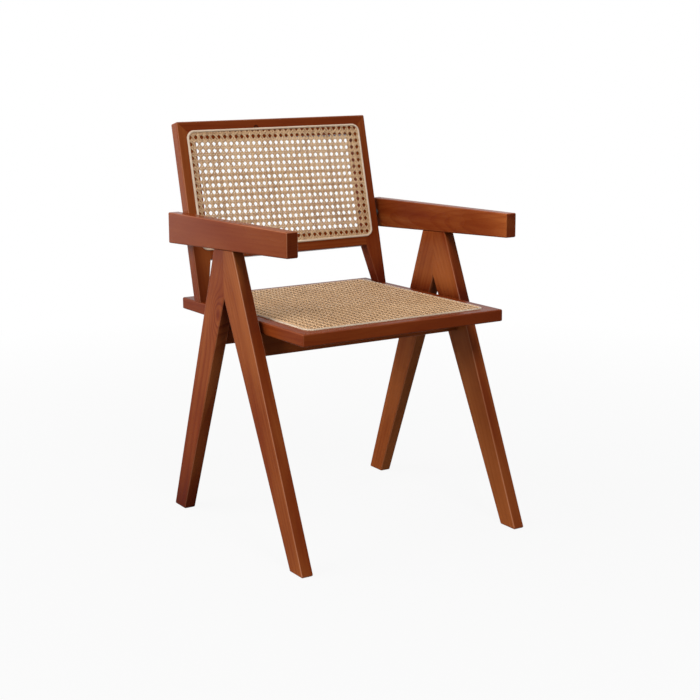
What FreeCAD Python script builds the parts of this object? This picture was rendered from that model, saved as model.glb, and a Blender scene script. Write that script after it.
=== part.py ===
import FreeCAD, Part
import math
import os

from FreeCAD import Placement, Rotation, Vector

# Dining armchair of stained wood with a cane seat and a cane back, in millimetres.
# +Z is up, the floor is at z = 0 and the chair faces -Y. Left and right are as seen from the front.
# While the pieces are made, y = 0 is the glued joint between the front and rear legs.

# Seat: a mitred frame that falls a little to the rear
seat_height = 450.0  # top of the front edge above the floor
seat_drop = 4.5  # fall of the seat's top from front to rear
seat_width = 462.0
seat_depth = 498.0
seat_overhang = 248.5  # front edge ahead of the leg joint
seat_board = 24.0
seat_rail = 45.0
seat_spline_margin = 25.0  # wood outside the spline

# Back: uprights that stand on the seat, mitred into the top rail
back_inset = 83.0  # front of the uprights' feet ahead of the seat's rear edge
back_lean = 14.0  # degrees from the vertical
back_length = 376.5  # along the slope
back_board = 27.5
back_stile = 38.0  # uprights and bottom rail beside the panel
back_top = 41.0  # top rail above the panel
back_rail_rise = 86.5  # bottom rail's lower edge above the seat, along the slope
back_spline_margin = 19.0
upright_foot = 20.0  # width to which an upright tapers at the seat

# Side frames: two tapered legs under one tapered arm
board = 25.0
side_gap = 7.0  # the seat and back stand this far inside each side frame
arm_rise = 190.5  # top of the arm's front end above the seat's front edge
arm_fall = 12.5  # fall of the arm's top from front to rear
arm_front_height = 48.5
arm_rear_height = 64.0
arm_front_reach = 246.0
arm_tail = 75.0  # rear end of the arm behind the front of the uprights' feet
head_length = 97.0  # glued joint of the leg heads, from the arm down to the crotch
front_head = 38.0
rear_head = 40.0
front_foot_reach = 291.0
front_foot = 47.0
rear_foot_reach = 244.0
rear_foot = 46.5
edge_round = 3.0

# Crossbars: under the seat, from leg to leg
bar_board = 25.0
bar_height = 45.0

# Cane webbing, held in a groove by a reed spline
cane_thickness = 1.6
cane_border = 6.0  # close-woven edge inside the spline
back_net_pitch = 17.6
back_net_gap = 11.5
seat_net_pitch = 24.0
seat_net_gap = 15.0
spline_width = 5.0
spline_proud = 2.0
spline_crown = 2.0  # rounding of the spline's face
spline_corner = 18.0
groove_depth = 7.0

# Joinery
slack = 0.1  # clearance all round a tenon, dowel, screw or spline
head_tenon_length = 40.0
head_tenon_thickness = 8.0
head_tenon_shoulder = 10.0  # wood below the tenon, and between it and the dowels
arm_dowel_radius = 5.0
arm_dowel_length = 50.0
bar_tenon_length = 15.0
bar_tenon_width = 30.0
bar_tenon_thickness = 9.0
mitre_tenon_length = 28.0
mitre_tenon_width = 18.0
mitre_tenon_thickness = 6.0
rail_tenon_length = 18.0
rail_tenon_width = 22.0
rail_tenon_thickness = 8.0
foot_dowel_radius = 4.0
foot_dowel_length = 26.0
foot_dowel_setback = 10.5  # behind the front of the upright's foot
foot_screw_setback = 21.0
screw_radius = 2.5
screw_head_radius = 4.5
screw_head_height = 3.5
screw_hold = 15.0  # how far a seat screw goes into the rail
foot_screw_hold = 32.0  # how far a screw goes up into an upright
bar_pocket = 22.0  # depth of the screw pockets under the crossbars
foot_pocket = 8.0  # depth of the screw pockets under the seat's side rails
bolt_radius = 3.0
bolt_head_radius = 5.0
bolt_head_height = 6.0
bolt_pocket = 9.0
insert_radius = 5.0
insert_length = 15.0
spacer_radius = 8.0

near = 0.01  # how closely an edge is matched to a place
seat_half = seat_width / 2
inner_face = seat_half + side_gap
seat_slope = math.degrees(math.asin(seat_drop / seat_depth))
back_setback = seat_depth - seat_overhang - back_inset  # front of the uprights' feet behind the leg joint
arm_rear_reach = back_setback + arm_tail
arm_length = arm_front_reach + arm_rear_reach


def seat_top(y):
    return seat_height - math.tan(math.radians(seat_slope)) * (y + seat_overhang)


def seat_under(y):
    return seat_top(y) - seat_board / math.cos(math.radians(seat_slope))


def arm_top(y):
    return seat_height + arm_rise - arm_fall * (y + arm_front_reach) / arm_length


def arm_bottom(y):
    growth = (arm_rear_height - arm_front_height) / arm_length
    return arm_top(y) - arm_front_height - growth * (y + arm_front_reach)


def edge_at(low, high, z):
    # Where a straight leg edge from low to high, as (y, z), crosses a height
    return low[0] + (high[0] - low[0]) * (z - low[1]) / (high[1] - low[1])


seat_place = Placement(Vector(0, -seat_overhang, seat_height), Rotation(Vector(1, 0, 0), -seat_slope))
back_place = Placement(
    Vector(0, back_setback, seat_top(back_setback)), Rotation(Vector(1, 0, 0), 90 - back_lean)
)
along_y = Rotation(Vector(1, 1, 1), 120)  # turns length to Y, width to Z and thickness to X
on_edge = Rotation(Vector(1, 0, 0), 90)  # turns width to Z and thickness to Y


def placed(shape, place):
    moved = shape.copy()
    moved.Placement = place.multiply(moved.Placement)
    return moved


def mirrored(shape):
    return shape.mirror(Vector(0, 0, 0), Vector(1, 0, 0))


def both_sides(shapes):
    return shapes + [mirrored(shape) for shape in shapes]


def prism(points, depth):
    # Straight-sided outline drawn through the points and carried along the depth vector
    return Part.Face(Part.makePolygon(points + points[:1])).extrude(depth)


def side_plate(outline):
    # Right-hand side frame piece from an outline of (y, z) points
    return prism([Vector(inner_face, y, z) for y, z in outline], Vector(board, 0, 0))


def lies_on(edge, start, end):
    # Whether an edge runs along the line from start to end, seen along X
    middle = edge.valueAt((edge.FirstParameter + edge.LastParameter) / 2)
    run = Vector(0, end[0] - start[0], end[1] - start[1])
    offset = Vector(0, middle.y - start[0], middle.z - start[1])
    lengthwise = abs(edge.tangentAt(edge.FirstParameter).x) < 0.5
    return lengthwise and run.cross(offset).Length < near * run.Length


def tenon(length, width, thickness, grow=0.0):
    # Round-edged tenon along X, centred on the origin: width along Y, thickness along Z
    radius = thickness / 2 + grow
    reach = (width - thickness) / 2
    low_left, low_right = Vector(0, -reach, -radius), Vector(0, reach, -radius)
    top_left, top_right = Vector(0, -reach, radius), Vector(0, reach, radius)
    outline = Part.Wire(
        [
            Part.LineSegment(low_left, low_right).toShape(),
            Part.Arc(low_right, Vector(0, reach + radius, 0), top_right).toShape(),
            Part.LineSegment(top_right, top_left).toShape(),
            Part.Arc(top_left, Vector(0, -reach - radius, 0), low_left).toShape(),
        ]
    )
    solid = Part.Face(outline).extrude(Vector(length + 2 * grow, 0, 0))
    solid.translate(Vector(-length / 2 - grow, 0, 0))
    return solid


def rounded_block(low, high, radius):
    # Box from corner low to corner high with its four edges along Z rounded
    size = high.sub(low)
    block = Part.makeBox(size.x, size.y, size.z, low)
    upright_edges = [edge for edge in block.Edges if abs(edge.tangentAt(edge.FirstParameter).z) > 0.9]
    return block.makeFillet(radius, upright_edges)


def spline_ring(half, low, high, grow=0.0):
    # Reed spline in the XY plane of a panel, its outer edge at x = -half..half and y = low..high
    bottom = -groove_depth - grow
    outer = rounded_block(
        Vector(-half - grow, low - grow, bottom),
        Vector(half + grow, high + grow, spline_proud),
        spline_corner + grow,
    )
    inset = spline_width + grow
    inner = rounded_block(
        Vector(-half + inset, low + inset, bottom),
        Vector(half - inset, high - inset, spline_proud),
        spline_corner - inset,
    )
    return outer.cut(inner)


def crowned(ring):
    # The spline's face is worked round, so its upper edges are filleted
    upper = [edge for edge in ring.Edges if edge.BoundBox.ZMin > spline_proud - near]
    return ring.makeFillet(spline_crown, upper)


def opening_rims(frame, far, low, thickness):
    # Edges around a frame's opening on its hidden face, above y = low
    rims = []
    for edge in frame.Edges:
        box = edge.BoundBox
        inside = max(abs(box.XMin), abs(box.XMax)) < far + near and box.YMin > low + near
        if inside and box.ZMax < near - thickness:
            rims.append(edge)
    return rims


def gap_rims(frame, high, thickness):
    # Long edges around the gap under the back on both faces, up to y = high
    rims = []
    for edge in frame.Edges:
        box = edge.BoundBox
        if box.YMax < high + near and box.XLength + box.YLength > thickness:
            rims.append(edge)
    return rims


def cane_net(half, low, high, pitch, gap, sides):
    # Webbing inside the spline: one holed face with a gap at every crossing of a square pitch
    inset = spline_width + slack
    left, bottom = -half + inset, low + inset
    width, height = -2 * left, high - inset - bottom
    plate = rounded_block(
        Vector(left, bottom, 0), Vector(left + width, bottom + height, cane_thickness), spline_corner - inset
    )
    outline = min(plate.Faces, key=lambda face: face.CenterOfMass.z).OuterWire
    columns = int((width - 2 * cane_border) / pitch)
    rows = int((height - 2 * cane_border) / pitch)
    turns = [2 * math.pi * side / sides for side in range(sides)]
    spokes = [Vector(math.cos(turn), math.sin(turn), 0) * (gap / 2) for turn in turns]
    wires = [outline]
    for column in range(columns):
        for row in range(rows):
            x = (column - (columns - 1) / 2) * pitch
            y = bottom + height / 2 + (row - (rows - 1) / 2) * pitch
            corners = [Vector(x, y, 0) + spoke for spoke in spokes]
            wires.append(Part.makePolygon(corners + corners[:1]))
    face = Part.makeFace(wires, "Part::FaceMakerBullseye")
    return face.extrude(Vector(0, 0, cane_thickness))


def pin(radius, length, base, axis=Vector(0, 0, 1)):
    return Part.makeCylinder(radius, length, base, axis)


def screw(x, y, seat, tip, grow=0.0):
    # Upright screw whose head bears on the wood at z = seat and whose tip is at z = tip
    height = screw_head_height + grow
    head = pin(screw_head_radius + grow, height, Vector(x, y, seat - height))
    shank = pin(screw_radius + grow, tip - seat + grow, Vector(x, y, seat))
    return head.fuse(shank).removeSplitter()


def screw_pocket(x, y, low, seat):
    return pin(screw_head_radius + slack, seat - low, Vector(x, y, low))


def side_frame():
    # Right-hand legs and arm, with their mortises and dowel holes
    front_foot_front, front_foot_rear = (-front_foot_reach, 0), (front_foot - front_foot_reach, 0)
    rear_foot_front, rear_foot_rear = (rear_foot_reach - rear_foot, 0), (rear_foot_reach, 0)
    front_top, joint_top = (-front_head, arm_bottom(-front_head)), (0, arm_bottom(0))
    rear_top = (rear_head, arm_bottom(rear_head))
    crotch = (0, arm_bottom(0) - head_length)

    def leg(toe, heel, head):
        # toe to head is the outer edge, heel to crotch the inner one
        solid = side_plate([toe, head, joint_top, crotch, heel])
        soft = [
            edge
            for edge in solid.Edges
            if lies_on(edge, toe, head) or lies_on(edge, heel, crotch) or edge.BoundBox.ZMax < near
        ]
        return solid.makeFillet(edge_round, soft)

    front = leg(front_foot_front, front_foot_rear, front_top)
    rear = leg(rear_foot_rear, rear_foot_front, rear_top)

    ends = (-arm_front_reach, arm_rear_reach)
    arm = side_plate([(y, arm_bottom(y)) for y in ends] + [(y, arm_top(y)) for y in reversed(ends)])
    arm = arm.makeFillet(edge_round, arm.Edges)

    dowel_base = arm_bottom(0) - arm_dowel_length / 2
    tenon_width = dowel_base - crotch[1] - 2 * head_tenon_shoulder
    middle = inner_face + board / 2
    tenon_place = Placement(
        Vector(middle, 0, crotch[1] + head_tenon_shoulder + tenon_width / 2), along_y
    )
    key, mortise = [
        placed(tenon(head_tenon_length, tenon_width, head_tenon_thickness, grow), tenon_place)
        for grow in (0, slack)
    ]
    dowels = []
    holes = []
    for y in (-front_head / 2, rear_head / 2):
        base = Vector(middle, y, arm_bottom(y) - arm_dowel_length / 2)
        dowels.append(pin(arm_dowel_radius, arm_dowel_length, base))
        holes.append(pin(arm_dowel_radius + slack, arm_dowel_length + 2 * slack, base - Vector(0, 0, slack)))
    bar_middle = seat_under(0) - bar_height / 2
    bar_places = [
        (edge_at(front_foot_front, front_top, bar_middle) + edge_at(front_foot_rear, crotch, bar_middle)) / 2,
        (edge_at(rear_foot_rear, rear_top, bar_middle) + edge_at(rear_foot_front, crotch, bar_middle)) / 2,
    ]
    front = front.cut([mortise, holes[0]])
    rear = rear.cut([mortise, holes[1]])
    return front, rear, arm.cut(holes), key, dowels, bar_places


def crossbar(y):
    # Bar with stub tenons, its top planed to the seat's slope; also the mortise cutter for a leg
    low = seat_under(y) - bar_height
    outline = [
        Vector(-inner_face, side * bar_board / 2 + y, z)
        for side, z in (
            (-1, low),
            (1, low),
            (1, seat_under(y + bar_board / 2)),
            (-1, seat_under(y - bar_board / 2)),
        )
    ]
    bar = prism(outline, Vector(2 * inner_face, 0, 0))
    lower = [edge for edge in bar.Edges if edge.BoundBox.ZMax < low + near and edge.Length > inner_face]
    bar = bar.makeFillet(edge_round, lower)
    middle = Vector(0, y, low + bar_height / 2)
    length = 2 * (inner_face + bar_tenon_length)
    whole, grown = [
        placed(tenon(length, bar_tenon_width, bar_tenon_thickness, grow), Placement(middle, on_edge))
        for grow in (0, slack)
    ]
    return bar.fuse(whole).removeSplitter(), grown


def mitre_tenons(corners, grow=0.0):
    # Loose tenons square across mitres; corners give the mitre's middle and its turn about Z
    tenons = []
    for middle, turn in corners:
        solid = tenon(mitre_tenon_length, mitre_tenon_width, mitre_tenon_thickness, grow)
        tenons.append(placed(solid, Placement(middle, Rotation(Vector(0, 0, 1), turn))))
    return tenons


def seat_frame():
    # Rails, corner tenons, spline and cane, in the seat's own plane with y from the front edge
    blank = Part.makeBox(seat_width, seat_depth, seat_board, Vector(-seat_half, 0, -seat_board))
    blank = blank.makeFillet(edge_round, blank.Edges)
    opening = Part.makeBox(
        seat_width - 2 * seat_rail,
        seat_depth - 2 * seat_rail,
        seat_board,
        Vector(-seat_half + seat_rail, seat_rail, -seat_board),
    )
    blank = blank.cut(opening)
    blank = blank.makeFillet(edge_round, opening_rims(blank, seat_half - seat_rail, 0, seat_board))
    ring = (seat_half - seat_spline_margin, seat_spline_margin, seat_depth - seat_spline_margin)
    inset = seat_rail / 2
    depth = -(groove_depth + seat_board) / 2
    corners = [
        (Vector(side * (seat_half - inset), y, depth), turn)
        for side, y, turn in (
            (-1, inset, -45),
            (1, inset, 45),
            (-1, seat_depth - inset, 45),
            (1, seat_depth - inset, -45),
        )
    ]
    frame = blank.cut([spline_ring(*ring, grow=slack)] + mitre_tenons(corners, slack))

    reach = seat_rail + edge_round  # the cutters run past the rail's inner edge into the opening
    lift = Vector(0, 0, -seat_board)
    through = Vector(0, 0, seat_board)

    def wedge(points):
        return frame.common(prism([Vector(x, y, 0) + lift for x, y in points], through))

    far = seat_half - reach
    rear = seat_depth - reach
    rails = {
        "front": wedge([(-seat_half, 0), (seat_half, 0), (far, reach), (-far, reach)]),
        "rear": wedge([(-seat_half, seat_depth), (seat_half, seat_depth), (far, rear), (-far, rear)]),
        "left": wedge([(-seat_half, 0), (-far, reach), (-far, rear), (-seat_half, seat_depth)]),
        "right": wedge([(seat_half, 0), (far, reach), (far, rear), (seat_half, seat_depth)]),
    }
    spline = crowned(spline_ring(*ring))
    cane = cane_net(*ring, seat_net_pitch, seat_net_gap, 4)
    rails = {name: placed(rail, seat_place) for name, rail in rails.items()}
    tenons = [placed(key, seat_place) for key in mitre_tenons(corners)]
    return rails, tenons, placed(spline, seat_place), placed(cane, seat_place)


def back_frame():
    # Uprights, rails, spline and cane, in the back's own plane with y up the slope from the seat
    blank = Part.makeBox(seat_width, back_length, back_board, Vector(-seat_half, 0, -back_board))
    blank = blank.makeFillet(edge_round, [edge for edge in blank.Edges if edge.BoundBox.YMax > near])
    far = seat_half - back_stile
    rail_top = back_rail_rise + back_stile
    top_edge = back_length - back_top
    opening = Part.makeBox(2 * far, top_edge - rail_top, back_board, Vector(-far, rail_top, -back_board))
    deep = Vector(0, 0, -back_board)
    through = Vector(0, 0, back_board)
    foot = seat_half - upright_foot
    gap = prism(
        [
            Vector(x, y, 0) + deep
            for x, y in ((-foot, 0), (foot, 0), (far, back_rail_rise), (-far, back_rail_rise))
        ],
        through,
    )
    margin = back_spline_margin
    ring = (seat_half - margin, back_rail_rise + margin, back_length - margin)
    inset = back_stile / 2
    depth = -(groove_depth + back_board) / 2
    corners = [
        (Vector(side * (seat_half - inset), back_length - inset, depth), side * -45) for side in (-1, 1)
    ]
    rail_keys = [
        placed(
            tenon(2 * (far + rail_tenon_length), rail_tenon_width, rail_tenon_thickness, grow),
            Placement(Vector(0, back_rail_rise + inset, depth), Rotation()),
        )
        for grow in (0, slack)
    ]
    frame = blank.cut([opening, gap])
    rims = opening_rims(frame, far, back_rail_rise, back_board) + gap_rims(frame, back_rail_rise, back_board)
    frame = frame.makeFillet(edge_round, rims)
    frame = frame.cut([spline_ring(*ring, grow=slack)] + mitre_tenons(corners, slack))

    def wedge(points):
        return frame.common(prism([Vector(x, y, 0) + deep for x, y in points], through))

    # The mitres are cut at 45 degrees, and the deeper top rail stands square below their inner ends
    mitre_end = back_length - back_stile
    upright = wedge(
        [(far, 0), (seat_half, 0), (seat_half, back_length), (far, mitre_end)]
    ).cut(rail_keys[1])
    top_rail = wedge(
        [(-seat_half, back_length), (seat_half, back_length)]
        + [(far, mitre_end), (far, top_edge), (-far, top_edge), (-far, mitre_end)]
    )
    bottom_rail = wedge(
        [(-far, back_rail_rise), (far, back_rail_rise), (far, rail_top), (-far, rail_top)]
    ).fuse(rail_keys[0])
    spline = crowned(spline_ring(*ring))
    cane = cane_net(*ring, back_net_pitch, back_net_gap, 6)
    pieces = [upright, top_rail, bottom_rail.removeSplitter(), spline, cane]
    tenons = [placed(key, back_place) for key in mitre_tenons(corners)]
    return [placed(piece, back_place) for piece in pieces], tenons


def arm_bolt_rise():
    # How far up the back's slope its middle meets the arm's middle height
    lean = math.radians(back_lean)
    half = back_board / 2

    def arm_middle(y):
        return (arm_top(y) + arm_bottom(y)) / 2

    grade = (arm_middle(arm_rear_reach) - arm_middle(0)) / arm_rear_reach
    start_y = back_setback + half * math.cos(lean)
    start_z = seat_top(back_setback) - half * math.sin(lean)
    return (arm_middle(start_y) - start_z) / (math.cos(lean) - grade * math.sin(lean))


leg_front, leg_rear, arm, head_key, arm_dowels, bar_places = side_frame()
bars, bar_mortises = zip(*[crossbar(y) for y in bar_places])
rails, seat_tenons, seat_spline, seat_cane = seat_frame()
(upright, top_rail, bottom_rail, back_spline, back_cane), back_tenons = back_frame()

leg_front = leg_front.cut(bar_mortises[0])
leg_rear = leg_rear.cut(bar_mortises[1])

# The uprights' feet are cut to the seat and held by a dowel and a screw from below
reach = seat_depth + back_length
below_seat = placed(Part.makeBox(4 * seat_half, reach, reach, Vector(-2 * seat_half, 0, -reach)), seat_place)
upright = upright.cut(below_seat)
foot_x = seat_half - upright_foot / 2
dowel_y = back_setback + foot_dowel_setback
foot_screw_y = back_setback + foot_screw_setback
dowel_base = Vector(foot_x, dowel_y, seat_top(dowel_y) - foot_dowel_length / 2)
foot_dowel = pin(foot_dowel_radius, foot_dowel_length, dowel_base)
foot_dowel_hole = pin(
    foot_dowel_radius + slack, foot_dowel_length + 2 * slack, dowel_base - Vector(0, 0, slack)
)
foot_screw_low = seat_under(foot_screw_y)
foot_screw_ends = (foot_screw_low + foot_pocket, seat_top(foot_screw_y) + foot_screw_hold)
foot_screw = screw(foot_x, foot_screw_y, *foot_screw_ends)
foot_screw_holes = [
    screw(foot_x, foot_screw_y, *foot_screw_ends, grow=slack),
    screw_pocket(foot_x, foot_screw_y, foot_screw_low - seat_board / 2, foot_screw_ends[0]),
]

# The seat is screwed down from pockets under the crossbars
seat_screw_x = seat_half - seat_rail / 2
seat_screws = []
seat_screw_holes = []
for y in bar_places:
    low = seat_under(y) - bar_height
    ends = (low + bar_pocket, seat_under(y) + screw_hold)
    seat_screws.append(screw(seat_screw_x, y, *ends))
    seat_screw_holes.append(screw(seat_screw_x, y, *ends, grow=slack))
    seat_screw_holes.append(screw_pocket(seat_screw_x, y, low - bar_height / 2, ends[0]))

# A bolt through each upright and a spacer draws the back to a threaded insert in the arm
bolt_point = back_place.multVec(Vector(0, arm_bolt_rise(), -back_board / 2))
outward = Vector(1, 0, 0)


def on_bolt(radius, start, end):
    return pin(radius, end - start, Vector(start, bolt_point.y, bolt_point.z), outward)


bolt_seat = seat_half - back_stile + bolt_pocket
bolt_tip = inner_face + insert_length
bolt = on_bolt(bolt_head_radius, bolt_seat - bolt_head_height, bolt_seat)
bolt = bolt.fuse(on_bolt(bolt_radius, bolt_seat, bolt_tip)).removeSplitter()
bolt_hole = on_bolt(bolt_radius + slack, bolt_seat - slack, bolt_tip + slack)
bolt_mouth = on_bolt(bolt_head_radius + slack, bolt_seat - back_stile, bolt_seat)
spacer = on_bolt(spacer_radius, seat_half, inner_face).cut(bolt_hole)
insert = on_bolt(insert_radius, inner_face, bolt_tip).cut(bolt_hole)
insert_hole = on_bolt(insert_radius + slack, inner_face - slack, bolt_tip + slack)

arm = arm.cut(insert_hole)
upright = upright.cut([foot_dowel_hole] + foot_screw_holes + [bolt_hole, bolt_mouth])
side_rail = rails["right"].cut([foot_dowel_hole] + foot_screw_holes + seat_screw_holes)
bars = [bar.cut(both_sides(seat_screw_holes)) for bar in bars]

nodes = {
    "leg_front_right": [leg_front],
    "leg_front_left": [mirrored(leg_front)],
    "leg_rear_right": [leg_rear],
    "leg_rear_left": [mirrored(leg_rear)],
    "arm_right": [arm],
    "arm_left": [mirrored(arm)],
    "leg_head_tenons": both_sides([head_key]),
    "arm_dowels": both_sides(arm_dowels),
    "crossbar_front": [bars[0]],
    "crossbar_rear": [bars[1]],
    "seat_rail_front": [rails["front"]],
    "seat_rail_rear": [rails["rear"]],
    "seat_rail_right": [side_rail],
    "seat_rail_left": [mirrored(side_rail)],
    "seat_corner_tenons": seat_tenons,
    "seat_screws": both_sides(seat_screws),
    "seat_cane": [seat_cane],
    "seat_spline": [seat_spline],
    "back_upright_right": [upright],
    "back_upright_left": [mirrored(upright)],
    "back_top_rail": [top_rail],
    "back_bottom_rail": [bottom_rail],
    "back_corner_tenons": back_tenons,
    "back_cane": [back_cane],
    "back_spline": [back_spline],
    "upright_dowels": both_sides([foot_dowel]),
    "upright_screws": both_sides([foot_screw]),
    "arm_bolts": both_sides([bolt]),
    "arm_spacers": both_sides([spacer]),
    "arm_inserts": both_sides([insert]),
}

# The origin is on the floor, at the middle of the chair's outline
outline = Part.makeCompound([solid for solids in nodes.values() for solid in solids]).optimalBoundingBox()
to_origin = Vector(0, -outline.Center.y, 0)
os.makedirs("parts", exist_ok=True)
for name, solids in nodes.items():
    shape = Part.makeCompound(solids) if len(solids) > 1 else solids[0]
    shape = placed(shape, Placement(to_origin, Rotation()))
    shape.exportStep(f"parts/{name}.step")
    print(name, len(shape.Solids), "solids,", round(shape.Volume), "mm3")
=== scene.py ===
import math

import bpy
import numpy as np
from mathutils import Matrix, Vector


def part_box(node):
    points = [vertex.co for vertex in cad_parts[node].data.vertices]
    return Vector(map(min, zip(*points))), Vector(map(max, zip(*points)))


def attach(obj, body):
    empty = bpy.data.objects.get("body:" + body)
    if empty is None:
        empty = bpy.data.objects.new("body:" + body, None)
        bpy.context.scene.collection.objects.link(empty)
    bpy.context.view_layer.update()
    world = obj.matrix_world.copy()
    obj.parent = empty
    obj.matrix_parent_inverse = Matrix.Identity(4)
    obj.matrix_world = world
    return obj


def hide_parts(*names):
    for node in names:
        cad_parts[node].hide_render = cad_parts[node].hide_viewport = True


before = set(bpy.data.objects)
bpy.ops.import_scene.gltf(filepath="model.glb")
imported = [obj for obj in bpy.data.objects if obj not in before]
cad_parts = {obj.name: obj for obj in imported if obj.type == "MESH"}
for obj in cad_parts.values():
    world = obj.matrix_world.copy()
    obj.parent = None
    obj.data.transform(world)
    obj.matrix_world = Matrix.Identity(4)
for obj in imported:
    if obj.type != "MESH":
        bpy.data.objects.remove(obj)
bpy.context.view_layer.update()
print("frame loaded,", len(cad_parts), "CAD pieces")


# ways of writing a material's nodes

def newMaterial(name):
    material = bpy.data.materials.new(name)
    material.use_nodes = True
    return material, material.node_tree, material.node_tree.nodes["Principled BSDF"]


def addNode(tree, kind, *values, **settings):
    # values fill the inputs in order: a socket is linked, a number or tuple is set, None is left
    node = tree.nodes.new("ShaderNode" + kind)
    for key, value in settings.items():
        setattr(node, key, value)
    for socket, value in zip(node.inputs, values):
        if isinstance(value, bpy.types.NodeSocket):
            tree.links.new(value, socket)
        elif value is not None:
            socket.default_value = value
    return node


def math1(tree, operation, a, b=None):
    return addNode(tree, "Math", a, b, operation=operation).outputs[0]


def plus(tree, a, b):
    return math1(tree, "ADD", a, b)


def minus(tree, a, b):
    return math1(tree, "SUBTRACT", a, b)


def times(tree, a, b):
    return math1(tree, "MULTIPLY", a, b)


def vectorMath(tree, operation, a, b=None):
    return addNode(tree, "VectorMath", a, b, operation=operation).outputs[0]


def measured(tree, operation, a, b=None):
    # a number made from vectors, by LENGTH, DISTANCE or DOT_PRODUCT
    return addNode(tree, "VectorMath", a, b, operation=operation).outputs["Value"]


def scaled(tree, colour, amount):
    node = addNode(tree, "VectorMath", colour, operation="SCALE")
    tree.links.new(amount, node.inputs["Scale"])
    return node.outputs[0]


def noiseOf(tree, vector, scales, detail=2.0, roughness=0.5):
    # scales are cycles per metre along each axis
    node = addNode(tree, "TexNoise", vectorMath(tree, "MULTIPLY", vector, scales))
    node.inputs["Scale"].default_value = 1.0
    node.inputs["Detail"].default_value = detail
    node.inputs["Roughness"].default_value = roughness
    return node.outputs["Fac"]


def rampOf(tree, value, stops, interpolation="LINEAR"):
    # each stop is a place and a colour, or a number for a grey
    node = addNode(tree, "ValToRGB", value)
    ramp = node.color_ramp
    ramp.interpolation = interpolation
    while len(ramp.elements) < len(stops):
        ramp.elements.new(0.5)
    for element, (place, colour) in zip(ramp.elements, stops):
        element.position = place
        element.color = (*(colour if isinstance(colour, tuple) else (colour,) * 3), 1.0)
    return node.outputs["Color"]


def ranged(tree, value, low, high, toLow, toHigh):
    return addNode(tree, "MapRange", value, low, high, toLow, toHigh).outputs[0]


noiseSpan = (0.3, 0.7)  # most of a noise lies between these


def spread(tree, noise, toLow, toHigh):
    return ranged(tree, noise, *noiseSpan, toLow, toHigh)


def wire(tree, output, shader, socket):
    tree.links.new(output, shader.inputs[socket])


def bumped(tree, shader, height, strength, distance):
    bump = addNode(tree, "Bump", strength, distance)
    tree.links.new(height, bump.inputs["Height"])
    wire(tree, bump.outputs[0], shader, "Normal")


def dress(node, material):
    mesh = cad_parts[node].data
    mesh.materials.clear()
    mesh.materials.append(material)


# stained wood: growth rings round each board's own heart line, fibres and pores along its grain.
# Each noise is cycles per metre along the grain and across it, and its detail; each span is where a
# measure starts and ends to count
woodFinish = dict(
    dark=(0.100, 0.0113, 0.0024), middle=(0.151, 0.0268, 0.0053),
    # wornHighlight, the arrises' pale colour, is partly stain rubbed thin and partly a painted highlight
    light=(0.216, 0.0555, 0.0130), pale=(0.275, 0.080, 0.0215), wornHighlight=(0.42, 0.205, 0.125),
    depths=dict(dark=0.12, middle=0.50, light=0.88, pale=1.26),
    rampScale=0.75,  # brings the depths within 0 to 1
    ringWeight=0.40, fibreWeight=0.22, streakWeight=0.45, cloudWeight=0.80,
    wanderNoise=((2.6, 9, 9), 1.5), figureNoise=((3.5, 15, 15), 1.0), fibreNoise=((14, 520, 520), 3.0),
    streakNoise=((2.4, 46, 46), 2.5), cloudNoise=((4, 11, 11), 2.0), poreNoise=((70, 1500, 1500), 1.0),
    wander=0.030, seedShift=(1.7, 0.9, 1.3),
    year=[(0.0, 0.62), (0.40, 0.60), (0.72, 0.40), (0.88, 0.26), (1.0, 0.62)],  # early wood to late wood
    figureSpan=(0.38, 0.62), figureLeast=0.10,
    sideSpan=(0.5, 0.9), endSpan=(0.80, 0.98), arrisSpan=(0.97, 0.78), undersideSpan=(-0.6, -0.1),
    endGrain=0.82, endDepth=0.30, endLines=0.12, linesPerRing=2.0, lineSpan=(0.35, 0.95),
    poreSpan=(0.62, 0.74), poreShade=0.22, cornerShade=0.45,
    # wearAndHighlight: how far the arrises lighten, by wear and by painted highlight
    wearAndHighlight=0.40, wearAndHighlightPatches=(0.5, 1.2),
    rough=(0.20, 0.32), specular=0.05, refraction=1.36, bump=0.07, bumpDepth=0.0004, fibreRelief=0.5,
)
knotShape = dict(stretch=(1.6, 30.0, 1.0), reach=0.025, rings=3.4, showing=0.55)
pinKnotShape = dict(radius=0.0040, bark=0.0008, fade=0.0026, shade=0.80)

# places near which shade is painted for a neighbouring piece's shadow, or light where the share is below
# 0: a point, and the direction away from the neighbouring piece
underArm = ((0.0, 0.0029, 0.5779), (0.0, -0.0573, -0.9984))
aboveSeat = ((0.0, 0.169, 0.4463), (0.0, 0.0, 1.0))
downFromSeat = ((0.0, 0.0, 0.44), (0.0, 0.0, -1.0))  # above it the darkening is full
downFromCrotch = ((0.0, 0.0, 0.475), (0.0, 0.0, -1.0))
innerRight = ((0.238, 0.0, 0.0), (1.0, 0.0, 0.0))
seatLevel = ((0.0, 0.0, 0.448), (0.0, 0.0, 1.0))
upFromFloor = ((0, 0, 0), (0, 0, 1))
rightArmFront = ((0.0, -0.2431, 0.0), (0.0, 1.0, 0.0))
rightRailEdge = ((0.231, 0, 0), (-1, 0, 0))
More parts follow.
